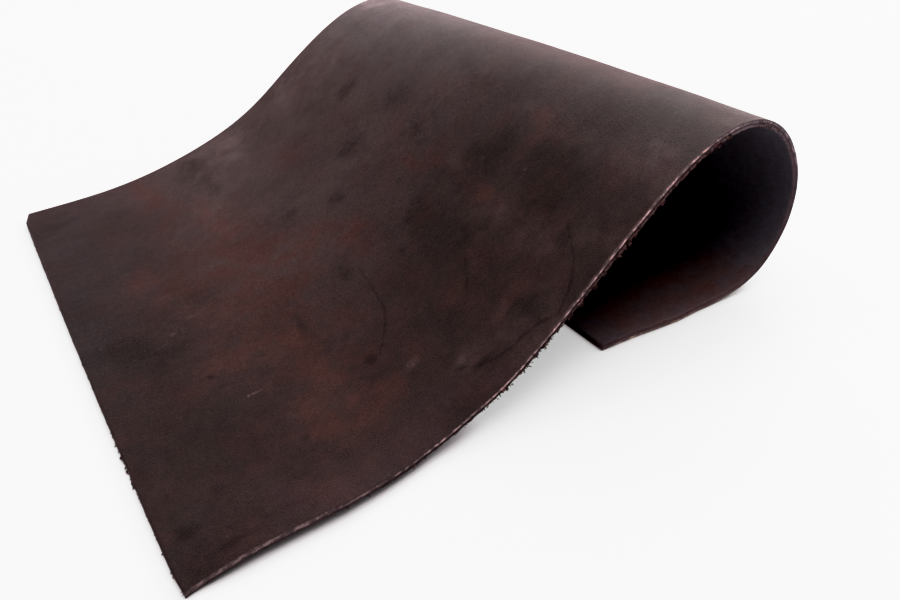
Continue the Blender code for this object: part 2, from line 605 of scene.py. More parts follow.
def cut_proud(points, along, across, depth):
    """How far the cut edge stands out: its section, the knife's wander and the torn fibres."""
    proud = np.interp(depth, *zip(*CUT_SECTION))
    proud -= cut_station(along, across, "drawn_in") * rise(depth, DRAWN_IN_FROM, 1.0)
    proud += uneven(points, *KNIFE_WANDER)
    raggedness = RAG_AT_GRAIN + (RAG_AT_FLESH - RAG_AT_GRAIN) * depth**2
    proud += raggedness * cut_station(along, across, "ragged") * rag(points, depth, CUT_RAG_START)
    left = on_cuts(along, across)[3]
    torn = stretch_of(across * PANEL_WIDTH, *TORN_ACROSS) * left
    return proud - TORN_DEPTH * torn * np.clip(rag(points, depth, TORN_RAG_START), 0.0, 1.0)


def cut_drop(points, along, across, depth):
    """How far the ragged flesh side of the cut hangs below the sheet's own thickness."""
    low = RAG_DROP * rise(depth, RAGS_FROM, 1.0)
    return low * cut_station(along, across, "ragged") * rag(points, depth, DROP_RAG_START)


def face_relief(points, depth):
    """Small unevenness of the two faces, in mm out of the grain side."""
    on_grain = depth < EDGE_TOLERANCE
    on_flesh = depth > 1.0 - EDGE_TOLERANCE
    grain = uneven(points, *SWELL) + uneven(points, *RIPPLE)
    return np.where(on_grain, grain, 0.0) + np.where(on_flesh, uneven(points, *NAP), 0.0)


def laid_points(points, along, across, depth):
    """Where each point of the shell lies, in mm, given its place on the smooth grain side."""
    lengthwise, widthwise, outward = directions(along, across)
    near, right, far, left = on_cuts(along, across)
    ends = right * 1.0 - left
    edges = far * 1.0 - near
    out_of_cut = unit(lengthwise * ends[:, None] + widthwise * edges[:, None])
    on_cut = near | right | far | left
    proud = np.where(on_cut, cut_proud(points, along, across, depth), 0.0)
    drop = cut_drop(points, along, across, depth)
    relief = np.where(on_cut, -drop, face_relief(points, depth)) - THICKNESS * depth
    laid = points + out_of_cut * proud[:, None] + outward * relief[:, None]
    laid[:, 2] = np.maximum(laid[:, 2], 0.0)
    return laid


def patch_wander(points, wander_start, fret_start):
    """How far the outlines of the patches wander at each point, in mm."""
    wander = uneven(points, *PATCH_WANDER, wander_start)
    return wander + uneven(points, *PATCH_FRET, fret_start)


def tone(along, across, patches, wander_along, wander_across):
    """Strength of the patches of one tone at each point, with wandering outlines."""
    clear = np.ones_like(along)
    for centre_along, centre_across, reach_along, reach_across, strength in patches:
        scale = min(1.0, min(reach_along, reach_across) / PATCH_WANDER[0])
        off_along = (along + wander_along * scale - centre_along) / reach_along
        off_across = (across * PANEL_WIDTH + wander_across * scale - centre_across) / reach_across
        clear *= 1.0 - strength * np.exp(-(off_along**2) - off_across**2)
    return 1.0 - clear


def bloom_and_sheen(along, across):
    """How pale and grey the grain is at each point: partly bloom, partly painted sheen towards the far
    part.
    """
    return rise(across * PANEL_WIDTH, *BLOOM_AND_SHEEN_ACROSS) * rise(along, *BLOOM_AND_SHEEN_ALONG)


def pull_up_and_sheen(along, across):
    """How pale the crest goes: partly oils moved out of the bent leather, partly a painted highlight of
    its sheen.
    """
    far = rise(across * PANEL_WIDTH, *PULL_UP_AND_SHEEN_ACROSS)
    return stretch_of(along, *PULL_UP_AND_SHEEN_ALONG) * (PULL_UP_AND_SHEEN_LEAST + (1.0 - PULL_UP_AND_SHEEN_LEAST) * far)


def rubbed(along, across):
    """How much the flesh side is rubbed at each point: most along the cuts."""
    to_sides = np.minimum(across, 1.0 - across) * PANEL_WIDTH
    to_ends = np.minimum(along, PANEL_LENGTH - along)
    return np.exp(-np.minimum(to_sides, to_ends) / FLESH_RUB_REACH)


def sheet_paints(points, along, across):
    """What the leathers read from the sheet: each tone and each column of the cut, by name."""
    wanders = [patch_wander(points, *starts) for starts in PATCH_STARTS]
    paints = {name: tone(along, across, patches, *wanders) for name, patches in PATCHES.items()}
    paints["rubbed"] = rubbed(along, across)
    paints["bloom_and_sheen"] = bloom_and_sheen(along, across)
    paints["pull_up_and_sheen"] = pull_up_and_sheen(along, across)
    for name in CUT_PAINTS:
        paints[name] = cut_station(along, across, name)
    return paints


def write_cut_map(shell, along, across, depth):
    """UV map: the flat panel on the two faces, and outline by depth on the cut edge."""
    cut_map = shell.loops.layers.uv.new("cut_panel")
    for face in shell.faces:
        if face.material_index == CUT:
            alongs = np.array([vert[along] for vert in face.verts])
            shares = np.array([vert[across] for vert in face.verts])
            distances = outline_distance(alongs, shares, one_cut=True)
            for loop, distance in zip(face.loops, distances):
                loop[cut_map].uv = (distance / PANEL_OUTLINE, loop.vert[depth])
        else:
            for loop in face.loops:
                loop[cut_map].uv = (loop.vert[along] / PANEL_LENGTH, loop.vert[across])


def placed(name, data):
    """An object of this mesh, light or camera, in the scene."""
    made = bpy.data.objects.new(name, data)
    bpy.context.scene.collection.objects.link(made)
    return made


def finished_piece(name, shape):
    """A piece of this shape, in the scene."""
    mesh = bpy.data.meshes.new(name)
    shape.to_mesh(mesh)
    shape.free()
    return placed(name, mesh)


def leather_sheet():
    shell, *layers = panel_shell()
    along, across, depth = (np.array([vert[layer] for vert in shell.verts]) for layer in layers)
    points = lay(along, across)
    for name, values in sheet_paints(points, along, across).items():
        paint = shell.verts.layers.float.new(name)
        for vert, value in zip(shell.verts, values):
            vert[paint] = value
    for vert, place in zip(shell.verts, laid_points(points, along, across, depth)):
        vert.co = place * MM
    write_cut_map(shell, *layers)
    joint = [vert for vert, share in zip(shell.verts, depth) if share > 1.0 - EDGE_TOLERANCE]
    bmesh.ops.remove_doubles(shell, verts=joint, dist=1e-7)
    bmesh.ops.recalc_face_normals(shell, faces=shell.faces[:])
    sheet = finished_piece("leather_sheet", shell)
    sheet.data.shade_smooth()
    return sheet


# ---------------------------------------------------------------- torn fibres on the cut edge

# Side, first and last distance along it (mm), tufts for each mm, longest tuft (mm), crumbs
# for each mm, largest crumb (mm).
FRAYED_STRETCHES = (
    ("near", 0.0, 50.0, 0.4, 0.35, 0.3, 0.12),
    ("near", 50.0, 74.0, 0.9, 0.50, 1.2, 0.20),
    ("near", 74.0, 108.0, 2.6, 1.00, 5.0, 0.36),
    ("near", 108.0, 172.0, 5.0, 1.15, 10.0, 0.32),
    ("near", 172.0, 196.0, 1.2, 0.50, 3.0, 0.20),
    ("near", 196.0, 262.0, 0.4, 0.35, 0.6, 0.14),
    ("near", 262.0, 297.0, 0.8, 0.40, 1.2, 0.16),
    ("far", 0.0, 297.0, 1.0, 0.45, 0.6, 0.20),
    ("left", 0.0, 210.0, 0.8, 0.40, 0.3, 0.15),
    ("left", 34.0, 66.0, 2.0, 0.90, 1.4, 0.24),
    ("right", 0.0, 210.0, 1.0, 0.50, 0.6, 0.20),
)
FRAY_SEED = 41
# Tufts and crumbs stand in clumps of this size (mm), more and longer than between them.
FRAY_CLUMP_SIZE = 2.2
FRAY_CLUMP_SHARE = 0.15
FRAY_CHANCE_BETWEEN = 0.30
FRAY_SIZE_BETWEEN = 0.7
FRAY_SIZES = (0.35, 0.75)
FRAY_SIDES_APART = 3.1
FRAY_ROOT_DEPTH = (0.62, 1.00)
FRAY_DROP = (0.10, 2.00)
FRAY_LEAN = 0.50
FRAY_BURIED = 0.12
FRAY_CLEARANCE = 0.05
FRAY_BATCH = 40
TUFT_RADIUS = (0.11, 0.24)
TUFT_WAIST = 0.7
TUFT_TIP = 0.25
TUFT_BEND = 0.35
CRUMB_STRETCH = (0.8, 2.2)
CRUMB_WIDTH = 0.9
CRUMB_HEIGHT = 0.8
CRUMB_LUMPINESS = 0.35
CRUMB_LUMPS = 5.0
CRUMBS_APART = 700.0


def bent_tuft(frays, place, radius, length, bend):
    """One three-sided tapered tuft with a bend in its middle, standing where place says."""
    half = length / 2.0
    sizes = {"radius1": radius, "radius2": radius * TUFT_WAIST, "depth": half}
    made = bmesh.ops.create_cone(frays, cap_ends=True, segments=3, **sizes)["verts"]
    bmesh.ops.translate(frays, verts=made, vec=(0.0, 0.0, half / 2.0))
    faces = {face for vert in made for face in vert.link_faces}
    top = max(faces, key=lambda face: face.calc_center_median().z)
    tip = bmesh.ops.extrude_discrete_faces(frays, faces=[top])["faces"][0].verts[:]
    bmesh.ops.translate(frays, verts=tip, vec=(0.0, 0.0, half))
    bmesh.ops.scale(frays, verts=tip, vec=(TUFT_TIP, TUFT_TIP, 1.0))
    bmesh.ops.translate(frays, verts=tip, vec=(bend, 0.0, 0.0))
    bmesh.ops.transform(frays, verts=made + tip, matrix=place)


def crumb(frays, place, radius, stretch):
    """A lump of matted fibre, drawn out along the cut."""
    made = bmesh.ops.create_icosphere(frays, subdivisions=1, radius=radius)["verts"]
    bmesh.ops.scale(frays, verts=made, vec=(stretch, CRUMB_WIDTH, CRUMB_HEIGHT))
    for vert in made:
        lump = noise.noise(vert.co * CRUMB_LUMPS / radius + place.translation * CRUMBS_APART)
        vert.co *= 1.0 + CRUMB_LUMPINESS * lump
    bmesh.ops.transform(frays, verts=made, matrix=place)


def fray_roots(draws):
    """Side, distance, kind and size of each tuft and crumb, thicker where a slow noise says so."""
    roots = []
    for side, first, last, tufts, longest, crumbs, largest in FRAYED_STRETCHES:
        for kind, density, most in (("tuft", tufts, longest), ("crumb", crumbs, largest)):
            for _ in range(int((last - first) * density)):
                distance = draws.uniform(first, last)
                place = Vector((distance / FRAY_CLUMP_SIZE, len(side) * FRAY_SIDES_APART, 0.0))
                clump = max(0.0, noise.noise(place) + FRAY_CLUMP_SHARE)
                if draws.random() < FRAY_CHANCE_BETWEEN + clump:
                    size = most * draws.uniform(*FRAY_SIZES) * (FRAY_SIZE_BETWEEN + clump)
                    roots.append((side, distance, kind, size))
    return roots


def fray_stands(roots, draws):
    """Where each tuft or crumb stands: its kind, size and matrix."""
    nears = {"near": 0.0, "far": 1.0}
    ends = {"left": 0.0, "right": PANEL_LENGTH}
    along = np.array([ends.get(side, distance) for side, distance, _, _ in roots])
    across = np.array([nears.get(side, distance / PANEL_WIDTH) for side, distance, _, _ in roots])
    points = lay(along, across)
    lengthwise, widthwise, outward = directions(along, across)
    out_of_cut = {"near": -widthwise, "far": widthwise, "left": -lengthwise, "right": lengthwise}
    for index, (side, _, kind, size) in enumerate(roots):
        beside = lengthwise[index] if side in nears else widthwise[index]
        depth = draws.uniform(*FRAY_ROOT_DEPTH)
        drop = draws.uniform(*FRAY_DROP) * depth
        lean = draws.gauss(0.0, FRAY_LEAN) if kind == "tuft" else 0.0
        aim = Vector(out_of_cut[side][index] - outward[index] * drop + beside * lean).normalized()
        root = Vector(points[index] - outward[index] * THICKNESS * depth) - aim * FRAY_BURIED
        clear_of_table = (FRAY_CLEARANCE - root.z) / (size + FRAY_BURIED)
        aim = Vector((aim.x, aim.y, max(aim.z, clear_of_table))).normalized()
        side_axis = Vector(beside).cross(aim).normalized()
        turn = Matrix((side_axis.cross(aim), -side_axis, aim)).transposed().to_4x4()
        yield kind, size, Matrix.Translation(root * MM) @ turn @ Matrix.Scale(MM, 4)


def edge_fibres():
    """Tufts and crumbs torn loose by the knife along the flesh side of every cut."""
    draws = random.Random(FRAY_SEED)
    stands = list(fray_stands(fray_roots(draws), draws))
    fringe = bmesh.new()
    batch = bpy.data.meshes.new("fray_batch")
    for first in range(0, len(stands), FRAY_BATCH):
        frays = bmesh.new()
        for kind, size, place in stands[first : first + FRAY_BATCH]:
            if kind == "tuft":
                length = size + FRAY_BURIED
                bend = draws.uniform(-TUFT_BEND, TUFT_BEND) * length
                bent_tuft(frays, place, draws.uniform(*TUFT_RADIUS), length, bend)
            else:
                crumb(frays, place, size, draws.uniform(*CRUMB_STRETCH))
        frays.to_mesh(batch)
        frays.free()
        fringe.from_mesh(batch)
    bpy.data.meshes.remove(batch)
    for vert in fringe.verts:
        vert.co.z = max(vert.co.z, 0.0)
    bmesh.ops.recalc_face_normals(fringe, faces=fringe.faces[:])
    return finished_piece("edge_fibres", fringe)


# ---------------------------------------------------------------- shader wiring

# Blender's Mix node keeps its colour sockets behind those of the other data types.
MIX_FIRST_COLOUR = 6
MIX_SECOND_COLOUR = 7
MIX_COLOUR_RESULT = 2


class Clouds(NamedTuple):
    """Soft noise: its size in mm, its octaves and their weight, then how it is read.

    It gives the least where the noise, from 0 to 1, is under low, and the most where it is
    over high.
    """

    size: float
    detail: float
    roughness: float
    low: float
    high: float
    least: float = 0.0
    most: float = 1.0


class Wiring:
    """Adds and joins the nodes of one node tree."""

    def __init__(self, tree):
        self.tree = tree

    def add(self, kind, inputs=None, **settings):
        node = self.tree.nodes.new(kind)
        for name, value in settings.items():
            setattr(node, name, value)
        for name, value in (inputs or {}).items():
            self.feed(node.inputs[name], value)
        return node

    def feed(self, socket, value):
        """Joins an output to the socket, or sets the socket's own value."""
        if isinstance(value, bpy.types.NodeSocket):
            self.tree.links.new(value, socket)
        else:
            socket.default_value = value

    def math(self, operation, first, second=0.0, clamp=False):
        sockets = {0: first, 1: second}
        return self.add("ShaderNodeMath", sockets, operation=operation, use_clamp=clamp).outputs[0]

    def product(self, first, second):
        return self.math("MULTIPLY", first, second)

    def vector(self, operation, first, second=(0.0, 0.0, 0.0), output="Vector"):
        sockets = {0: first, 1: second}
        return self.add("ShaderNodeVectorMath", sockets, operation=operation).outputs[output]

    def scaled(self, vector, factor):
        sockets = {0: vector, "Scale": factor}
        return self.add("ShaderNodeVectorMath", sockets, operation="SCALE").outputs["Vector"]

    def ramp(self, value, low, high, to_low=0.0, to_high=1.0):
        """A smooth step of value from low to high."""
        limits = {"From Min": low, "From Max": high, "To Min": to_low, "To Max": to_high}
        sockets = {"Value": value, **limits}
        return self.add("ShaderNodeMapRange", sockets, interpolation_type="SMOOTHSTEP").outputs["Result"]

    def mix(self, share, first, second, blend="MIX"):
        """Mixes two colours."""
        sockets = {"Factor": share, MIX_FIRST_COLOUR: first, MIX_SECOND_COLOUR: second}
        node = self.add("ShaderNodeMix", sockets, data_type="RGBA", blend_type=blend)
        return node.outputs[MIX_COLOUR_RESULT]

    def stained(self, colour, stain, mask, strength=1.0):
        """The colour with this much of the stain over it where the mask is."""
        return self.mix(self.product(mask, strength), colour, stain)

    def shaded(self, colour, shade):
        """The colour times a brightness, which may be over 1."""
        sockets = {"Red": shade, "Green": shade, "Blue": shade}
        grey = self.add("ShaderNodeCombineColor", sockets).outputs["Color"]
        return self.mix(1.0, colour, grey, blend="MULTIPLY")

    def noise(self, vector, size, detail=2.0, roughness=0.5, distortion=0.0):
        """Noise from 0 to 1 with features of this size in mm."""
        is_socket = isinstance(size, bpy.types.NodeSocket)
        scale = self.math("DIVIDE", 1.0, size) if is_socket else 1.0 / size
        look = {"Detail": detail, "Roughness": roughness, "Distortion": distortion}
        return self.add("ShaderNodeTexNoise", {"Vector": vector, "Scale": scale, **look})

    def clouds(self, vector, clouds):
        texture = self.noise(vector, clouds.size, clouds.detail, clouds.roughness)
        return self.ramp(texture.outputs["Fac"], clouds.low, clouds.high, clouds.least, clouds.most)

    def cells(self, vector, scale, randomness=1.0, feature="F1"):
        sockets = {"Vector": vector, "Scale": scale, "Randomness": randomness}
        return self.add("ShaderNodeTexVoronoi", sockets, feature=feature)

    def wandering(self, vector, size, reach):
        """The place moved by up to half the reach, in wanders of this size in mm."""
        texture = self.noise(vector, size)
        centred = self.vector("SUBTRACT", texture.outputs["Color"], (0.5, 0.5, 0.5))
        return self.vector("ADD", vector, self.scaled(centred, reach))

    def attribute(self, name):
        """What the mesh says under this name."""
        return self.add("ShaderNodeAttribute", attribute_name=name).outputs["Fac"]

    def group(self, tree, **values):
        """Places a node group. An underscore in a name stands for a space."""
        node = self.add("ShaderNodeGroup", node_tree=tree)
        for name, value in values.items():
            self.feed(node.inputs[name.replace("_", " ").capitalize()], value)
        return node

    def bump(self, shader, height, strength, reach):
        """Gives the shader a relief of this height, with its reach in metres."""
        sockets = {"Height": height, "Strength": strength, "Distance": reach}
        self.feed(shader.inputs["Normal"], self.add("ShaderNodeBump", sockets).outputs["Normal"])


FLOAT = "NodeSocketFloat"
VECTOR = "NodeSocketVector"
PLACE = ("Vector", VECTOR, None)


def new_group(name, inputs, outputs):
    """A node group with these named sockets, its wiring, and its two end nodes' sockets."""
    tree = bpy.data.node_groups.new(name, "ShaderNodeTree")
    for socket_name, kind, default in inputs:
        socket = tree.interface.new_socket(socket_name, in_out="INPUT", socket_type=kind)
        if default is not None:
            socket.default_value = default
    for socket_name in outputs:
        tree.interface.new_socket(socket_name, in_out="OUTPUT", socket_type=FLOAT)
    wiring = Wiring(tree)
    start = wiring.add("NodeGroupInput")
    end = wiring.add("NodeGroupOutput")
    return tree, wiring, start.outputs, end.inputs


def cloudy_tone_group():
    """Breaks painted patches up with clouds, so that no patch has a plain outline."""
    tree, wiring, given, made = new_group(
        "cloudy_tone",
        (PLACE, ("Patches", FLOAT, 0.0), ("Size", FLOAT, 8.0), ("Break up", FLOAT, 0.6)),
        ("Mask",),
    )
    texture = wiring.noise(given["Vector"], given["Size"], detail=6.0, roughness=0.6)
    clear = wiring.ramp(texture.outputs["Fac"], 0.30, 0.70, -1.0, 1.0)
    share = wiring.math("ADD", 1.0, wiring.product(clear, given["Break up"]))
    wiring.feed(made["Mask"], wiring.ramp(wiring.product(given["Patches"], share), 0.0, 1.0))
    return tree


# The pebbles wander by up to half of this, over this size (mm).
PEBBLE_WANDER = 0.9
PEBBLE_WANDER_SIZE = 1.4
PEBBLE_RANDOMNESS = 0.95
# The finer grain on the pebbles: its size in mm, and its height as a share of theirs.
FINE_GRAIN_SIZE = 0.28
FINE_GRAIN_HEIGHT = 0.45
# Pores: their cells in each mm, a pore's bottom and rim in cells, and its depth.
PORE_CELLS = 0.75
PORE_BOTTOM = 0.05
PORE_RIM = 0.16
PORE_DEPTH = 0.6


def pebble_grain_group():
    """Fine pebbled grain: rounded cells with creases between them, and pores here and there."""
    tree, wiring, given, made = new_group(
        "pebble_grain",
        (PLACE, ("Cells", FLOAT, 1.7), ("Softness", FLOAT, 0.25)),
        ("Height", "Crease"),
    )
    place = wiring.wandering(given["Vector"], PEBBLE_WANDER_SIZE, PEBBLE_WANDER)
    pebbles = wiring.cells(place, given["Cells"], PEBBLE_RANDOMNESS, feature="DISTANCE_TO_EDGE")
    dome = wiring.ramp(pebbles.outputs["Distance"], 0.0, given["Softness"])
    finer = wiring.noise(given["Vector"], FINE_GRAIN_SIZE, detail=3.0, roughness=0.6)
    raised = wiring.math("ADD", dome, wiring.product(finer.outputs["Fac"], FINE_GRAIN_HEIGHT))
    pores = wiring.cells(place, PORE_CELLS)
    pore = wiring.ramp(pores.outputs["Distance"], PORE_BOTTOM, PORE_RIM, PORE_DEPTH, 0.0)
    wiring.feed(made["Height"], wiring.math("SUBTRACT", raised, pore))
    wiring.feed(made["Crease"], wiring.math("SUBTRACT", 1.0, dome, clamp=True))
    return tree


def vein_stroke_group():
    """A straight piece of vein: 1 on the line between two points, 0 past its width from it."""
    tree, wiring, given, made = new_group(
        "vein_stroke",
        (PLACE, ("From", VECTOR, None), ("To", VECTOR, None), ("Width", FLOAT, 0.5)),
        ("Mask",),
    )
    offset = wiring.vector("SUBTRACT", given["Vector"], given["From"])
    line = wiring.vector("SUBTRACT", given["To"], given["From"])
    reach = wiring.vector("DOT_PRODUCT", offset, line, output="Value")
    square = wiring.vector("DOT_PRODUCT", line, line, output="Value")
    nearest = wiring.scaled(line, wiring.math("DIVIDE", reach, square, clamp=True))
    apart = wiring.vector("SUBTRACT", offset, nearest)
    distance = wiring.vector("LENGTH", apart, output="Value")
    wiring.feed(made["Mask"], wiring.ramp(distance, 0.0, given["Width"], 1.0, 0.0))
    return tree


# How unevenly a spot fades, over what size in mm, and where it is full and gone in its reach.
SPOT_FRAY = 1.1
SPOT_FRAY_SIZE = 0.7
SPOT_FULL = 0.15
SPOT_GONE = 1.15


def scuff_spot_group():
    """A small scuffed spot: 1 at its centre, fading unevenly to 0 at its reach."""
    tree, wiring, given, made = new_group(
        "scuff_spot",
        (PLACE, ("Centre", VECTOR, None), ("Reach", VECTOR, None)),
        ("Mask",),
    )
    offset = wiring.vector("SUBTRACT", given["Vector"], given["Centre"])
    scaled = wiring.vector("DIVIDE", offset, given["Reach"])
    distance = wiring.vector("LENGTH", scaled, output="Value")
    fray = wiring.noise(given["Vector"], SPOT_FRAY_SIZE, detail=3.0, roughness=0.65)
    rough = wiring.product(fray.outputs["Fac"], SPOT_FRAY)
    uneven_distance = wiring.math("ADD", distance, wiring.math("SUBTRACT", rough, SPOT_FRAY / 2.0))
    wiring.feed(made["Mask"], wiring.ramp(uneven_distance, SPOT_FULL, SPOT_GONE, 1.0, 0.0))
    return tree


# The two runs of crossed fibres: how far each is turned, in degrees, and how it is drawn out.
NAP_RUNS = ((25.0, 0.30), (-55.0, 0.35))
NAP_LOOK = {"detail": 3.0, "roughness": 0.62, "distortion": 0.8}
NAP_SHOWS = (0.42, 0.72)


def fibre_nap_group():
    """Short crossed fibres, as raw leather has on its flesh side and in a cut."""
    tree, wiring, given, made = new_group(
        "fibre_nap", (PLACE, ("Size", FLOAT, 0.3)), ("Height", "Mask")
    )
    heights = []
    for turn, stretch in NAP_RUNS:
        sockets = {"Rotation": (0.0, 0.0, math.radians(turn)), "Scale": (1.0, stretch, 1.0)}
        mapping = wiring.add("ShaderNodeMapping", {"Vector": given["Vector"], **sockets})
        strands = wiring.noise(mapping.outputs["Vector"], given["Size"], **NAP_LOOK)
        heights.append(strands.outputs["Fac"])
    height = wiring.math("MAXIMUM", *heights)
    wiring.feed(made["Height"], height)
    wiring.feed(made["Mask"], wiring.ramp(height, *NAP_SHOWS))
    return tree


CLOUDY_TONE = cloudy_tone_group()
PEBBLE_GRAIN = pebble_grain_group()
VEIN_STROKE = vein_stroke_group()
SCUFF_SPOT = scuff_spot_group()
FIBRE_NAP = fibre_nap_group()


def dye(red, green, blue):
    """A colour given as the eye sees it, 0 to 255, in the linear values that shaders take."""
    shares = [value / 255.0 for value in (red, green, blue)]
    linear = [v / 12.92 if v <= 0.04045 else ((v + 0.055) / 1.055) ** 2.4 for v in shares]
    return (*linear, 1.0)


def new_material(name, **shader_values):
    """A material with one Principled shader, whose constant values are set here."""
    material = bpy.data.materials.new(name)
    material.use_nodes = True
    wiring = Wiring(material.node_tree)
    shader = material.node_tree.nodes["Principled BSDF"]
    for socket_name, value in shader_values.items():
        shader.inputs[socket_name.replace("_", " ")].default_value = value
    return material, wiring, shader


def panel_place(wiring, reach_along, reach_across):
    """The place on a face from the panel's UV map, in mm, and the map's own values."""
    cut_map = wiring.add("ShaderNodeUVMap", uv_map="cut_panel").outputs["UV"]
    sockets = {"Vector": cut_map, "Scale": (reach_along, reach_across, 1.0)}
    return wiring.add("ShaderNodeMapping", sockets).outputs["Vector"], cut_map


# ---------------------------------------------------------------- the grain side

BROWN = dye(48, 37, 36)
# Paler grey of the far part: partly bloom, partly painted sheen of the grazing view.
BLOOM_AND_SHEEN_BROWN = dye(66, 54, 53)
WARM_RED = dye(71, 43, 39)
BROWN_BLACK = dye(35, 29, 27)
SMOKE = dye(45, 40, 41)
MAUVE = dye(58, 40, 43)
# Paler crest colour: partly pull-up, partly a painted highlight of the sheen there.
PULLED_PALE_AND_SHEEN = dye(113, 106, 107)
VEIN_BLACK = dye(18, 12, 13)
SCUFF_PALE = dye(140, 112, 110)
DUST_PALE = dye(200, 178, 165)
# The pale line of the cut and of the lip: partly pale fibre, partly a painted highlight.
CUT_PALE = dye(255, 208, 208)

# Painted tone, its colour, the most of it, the size of its clouds and where they start (mm).
GRAIN_TONES = (
    ("smoke_tone", SMOKE, 0.85, 12.0, (7.0, 91.0, 3.0)),
    ("warm_tone", WARM_RED, 0.75, 9.0, (0.0, 0.0, 0.0)),
    ("dark_tone", BROWN_BLACK, 0.80, 9.0, (71.0, 37.0, 13.0)),
    ("mauve_tone", MAUVE, 0.70, 9.0, (41.0, 17.0, 61.0)),
)
TONE_BREAK_UP = 0.65
# The rubbed places are up to twice as light, in clouds of this size (mm) that start here.
RUBBED_CLOUDS = 7.0
RUBBED_BREAK_UP = 0.5
RUBBED_START = (13.0, 59.0, 29.0)
# A warm flush all over, and where it starts.
FLUSH = Clouds(11.0, 6.0, 0.6, 0.46, 0.74, 0.0, 0.30)
FLUSH_START = (19.0, 83.0, 5.0)
# How dark and how pale each size of mottle makes the grain.
MOTTLES = (
    Clouds(22.0, 6.0, 0.6, 0.30, 0.70, 0.84, 1.16),
    Clouds(2.6, 4.0, 0.6, 0.30, 0.70, 0.91, 1.10),
    Clouds(0.55, 2.0, 0.6, 0.30, 0.70, 0.88, 1.14),
)
# The lip of the near cut shows a broken pale line, a painted highlight where the rounded lip catches the
# light: from the cut in, and from here to here along.
LIP_HIGHLIGHT_BREAKS = Clouds(4.0, 3.0, 0.6, 0.36, 0.64, 0.02, 0.14)
LIP_ACROSS = (0.05, 0.60)
LIP_ALONG = (75.0, 125.0)
# The veins wander by up to half of this, over this size (mm), and show in pieces.
VEIN_WANDER = 1.6
VEIN_WANDER_SIZE = 3.0
VEIN_PIECES = Clouds(2.2, 2.0, 0.5, 0.25, 0.62, 0.25, 1.0)
VEIN_GROOVE = 1.5
SCRATCHES = Clouds(0.45, 3.0, 0.7, 0.40, 0.66, 0.10, 1.0)
# Dust: the size of its cells (mm), the share of them left empty, the faintest speck, and a
# speck's middle and rim in cells.
DUST_CELL = 6.25
DUST_LEFT_OUT = 0.55
DUST_FAINTEST = 0.35
DUST_MIDDLE = 0.012
DUST_RIM = 0.030
# How strongly each mark shows.
CREASE_STRENGTH = 0.35
VEIN_STRENGTH = 0.56
SPOT_STRENGTH = 0.58
SCUFF_STRENGTH = 0.55
DUST_STRENGTH = 0.7
GLOSS = Clouds(7.0, 4.0, 0.6, 0.30, 0.70, 0.40, 0.52)


def cloudy_tone(wiring, place, name, size, break_up, start=(0.0, 0.0, 0.0)):
    """Where the painted tone of this name shows, broken up by clouds that start here."""
    looks = {"size": size, "break_up": break_up, "patches": wiring.attribute(name)}
    moved = wiring.vector("ADD", place, start)
    return wiring.group(CLOUDY_TONE, vector=moved, **looks).outputs["Mask"]


def vein_mask(wiring, place):
    """All the veins together, a little wandering and broken."""
    wandered = wiring.wandering(place, VEIN_WANDER_SIZE, VEIN_WANDER)
    mask = 0.0
    for width, points in VEINS:
        for first, last in zip(points[:-1], points[1:]):
            ends = {"from": (*first, 0.0), "to": (*last, 0.0)}
            stroke = wiring.group(VEIN_STROKE, vector=wandered, width=width, **ends)
            mask = wiring.math("MAXIMUM", mask, stroke.outputs["Mask"])
    return wiring.product(mask, wiring.clouds(place, VEIN_PIECES))


def spot_mask(wiring, place, spots):
    """All the spots of one kind together."""
    mask = 0.0
    for along, across, reach_along, reach_across, strength in spots:
        sizes = {"centre": (along, across, 0.0), "reach": (reach_along, reach_across, 1.0)}
        spot = wiring.group(SCUFF_SPOT, vector=place, **sizes).outputs["Mask"]
        mask = wiring.math("MAXIMUM", mask, wiring.product(spot, strength))
    return mask


def dust_mask(wiring, place):
    """Pin-head specks, far apart."""
    cells = wiring.cells(place, 1.0 / DUST_CELL)
    draws = wiring.add("ShaderNodeSeparateColor", {"Color": cells.outputs["Color"]})
    chosen = wiring.math("GREATER_THAN", draws.outputs["Red"], DUST_LEFT_OUT)
    strength = wiring.ramp(draws.outputs["Green"], 0.0, 1.0, DUST_FAINTEST, 1.0)
    speck = wiring.ramp(cells.outputs["Distance"], DUST_MIDDLE, DUST_RIM, 1.0, 0.0)
    return wiring.product(wiring.product(speck, chosen), strength)


def lip_highlight_mask(wiring, place):
    """The pale lip of the near cut: a painted highlight where the rounded lip catches the light."""
    apart = wiring.add("ShaderNodeSeparateXYZ", {"Vector": place}).outputs
    close = wiring.ramp(apart["Y"], *LIP_ACROSS, 1.0, 0.0)
    chipped = wiring.product(close, wiring.clouds(place, LIP_HIGHLIGHT_BREAKS))
    return wiring.product(chipped, wiring.ramp(apart["X"], *LIP_ALONG))


def clouded_brown(wiring, place):
    """The grain side's brown with its tones, the pale crest of pull-up and painted highlight, the far
    part's painted sheen, and mottle, before any marks.
    """
    # Painted sheen, in part: the far part turns a paler grey.
    colour = wiring.mix(wiring.attribute("bloom_and_sheen"), BROWN, BLOOM_AND_SHEEN_BROWN)
    for name, tone_colour, most, size, start in GRAIN_TONES:
        mask = cloudy_tone(wiring, place, name, size, TONE_BREAK_UP, start)
        colour = wiring.stained(colour, tone_colour, mask, most)
    # Painted highlight, in part: the crest goes pale, partly from pull-up and partly from the sheen seen
    # there.
    colour = wiring.mix(wiring.attribute("pull_up_and_sheen"), colour, PULLED_PALE_AND_SHEEN)
    lighter = cloudy_tone(wiring, place, "pale_tone", RUBBED_CLOUDS, RUBBED_BREAK_UP, RUBBED_START)
    colour = wiring.shaded(colour, wiring.math("ADD", lighter, 1.0))
    flush = wiring.clouds(wiring.vector("ADD", place, FLUSH_START), FLUSH)
    colour = wiring.mix(flush, colour, WARM_RED)
    for mottle in MOTTLES:
        colour = wiring.shaded(colour, wiring.clouds(place, mottle))
    return colour


